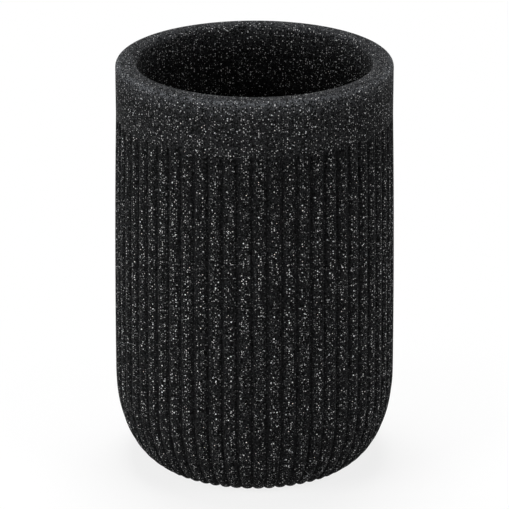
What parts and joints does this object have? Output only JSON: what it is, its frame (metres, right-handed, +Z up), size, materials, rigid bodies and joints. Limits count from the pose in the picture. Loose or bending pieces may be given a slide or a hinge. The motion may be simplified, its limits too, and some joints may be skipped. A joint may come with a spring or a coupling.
{
  "type": "bathroom tumbler",
  "caption": "Round ribbed bathroom tumbler with a plain collar, thick rounded rim, straight bore, large rounded heel and a non-slip pad under its foot",
  "frame": {"origin": "centre of the underside of the foot pad, on the surface that the tumbler stands on", "axes": "+Z up along the tumbler's axis, -Y towards the front, where a valley between two ribs lies"},
  "size_m": [0.0752, 0.0753, 0.112],
  "materials": {
    "cast_resin": "matt black cast resin filled with mineral grain, with dense fine white and grey specks",
    "pad_rubber": "matt black non-slip rubber sheet",
    "glue_film": "pale translucent double-sided adhesive film"
  },
  "bodies": {
    "root": {"tumbler_shell": "cast_resin", "base_pad": "pad_rubber", "pad_adhesive": "glue_film"}
  },
  "joints": []
}
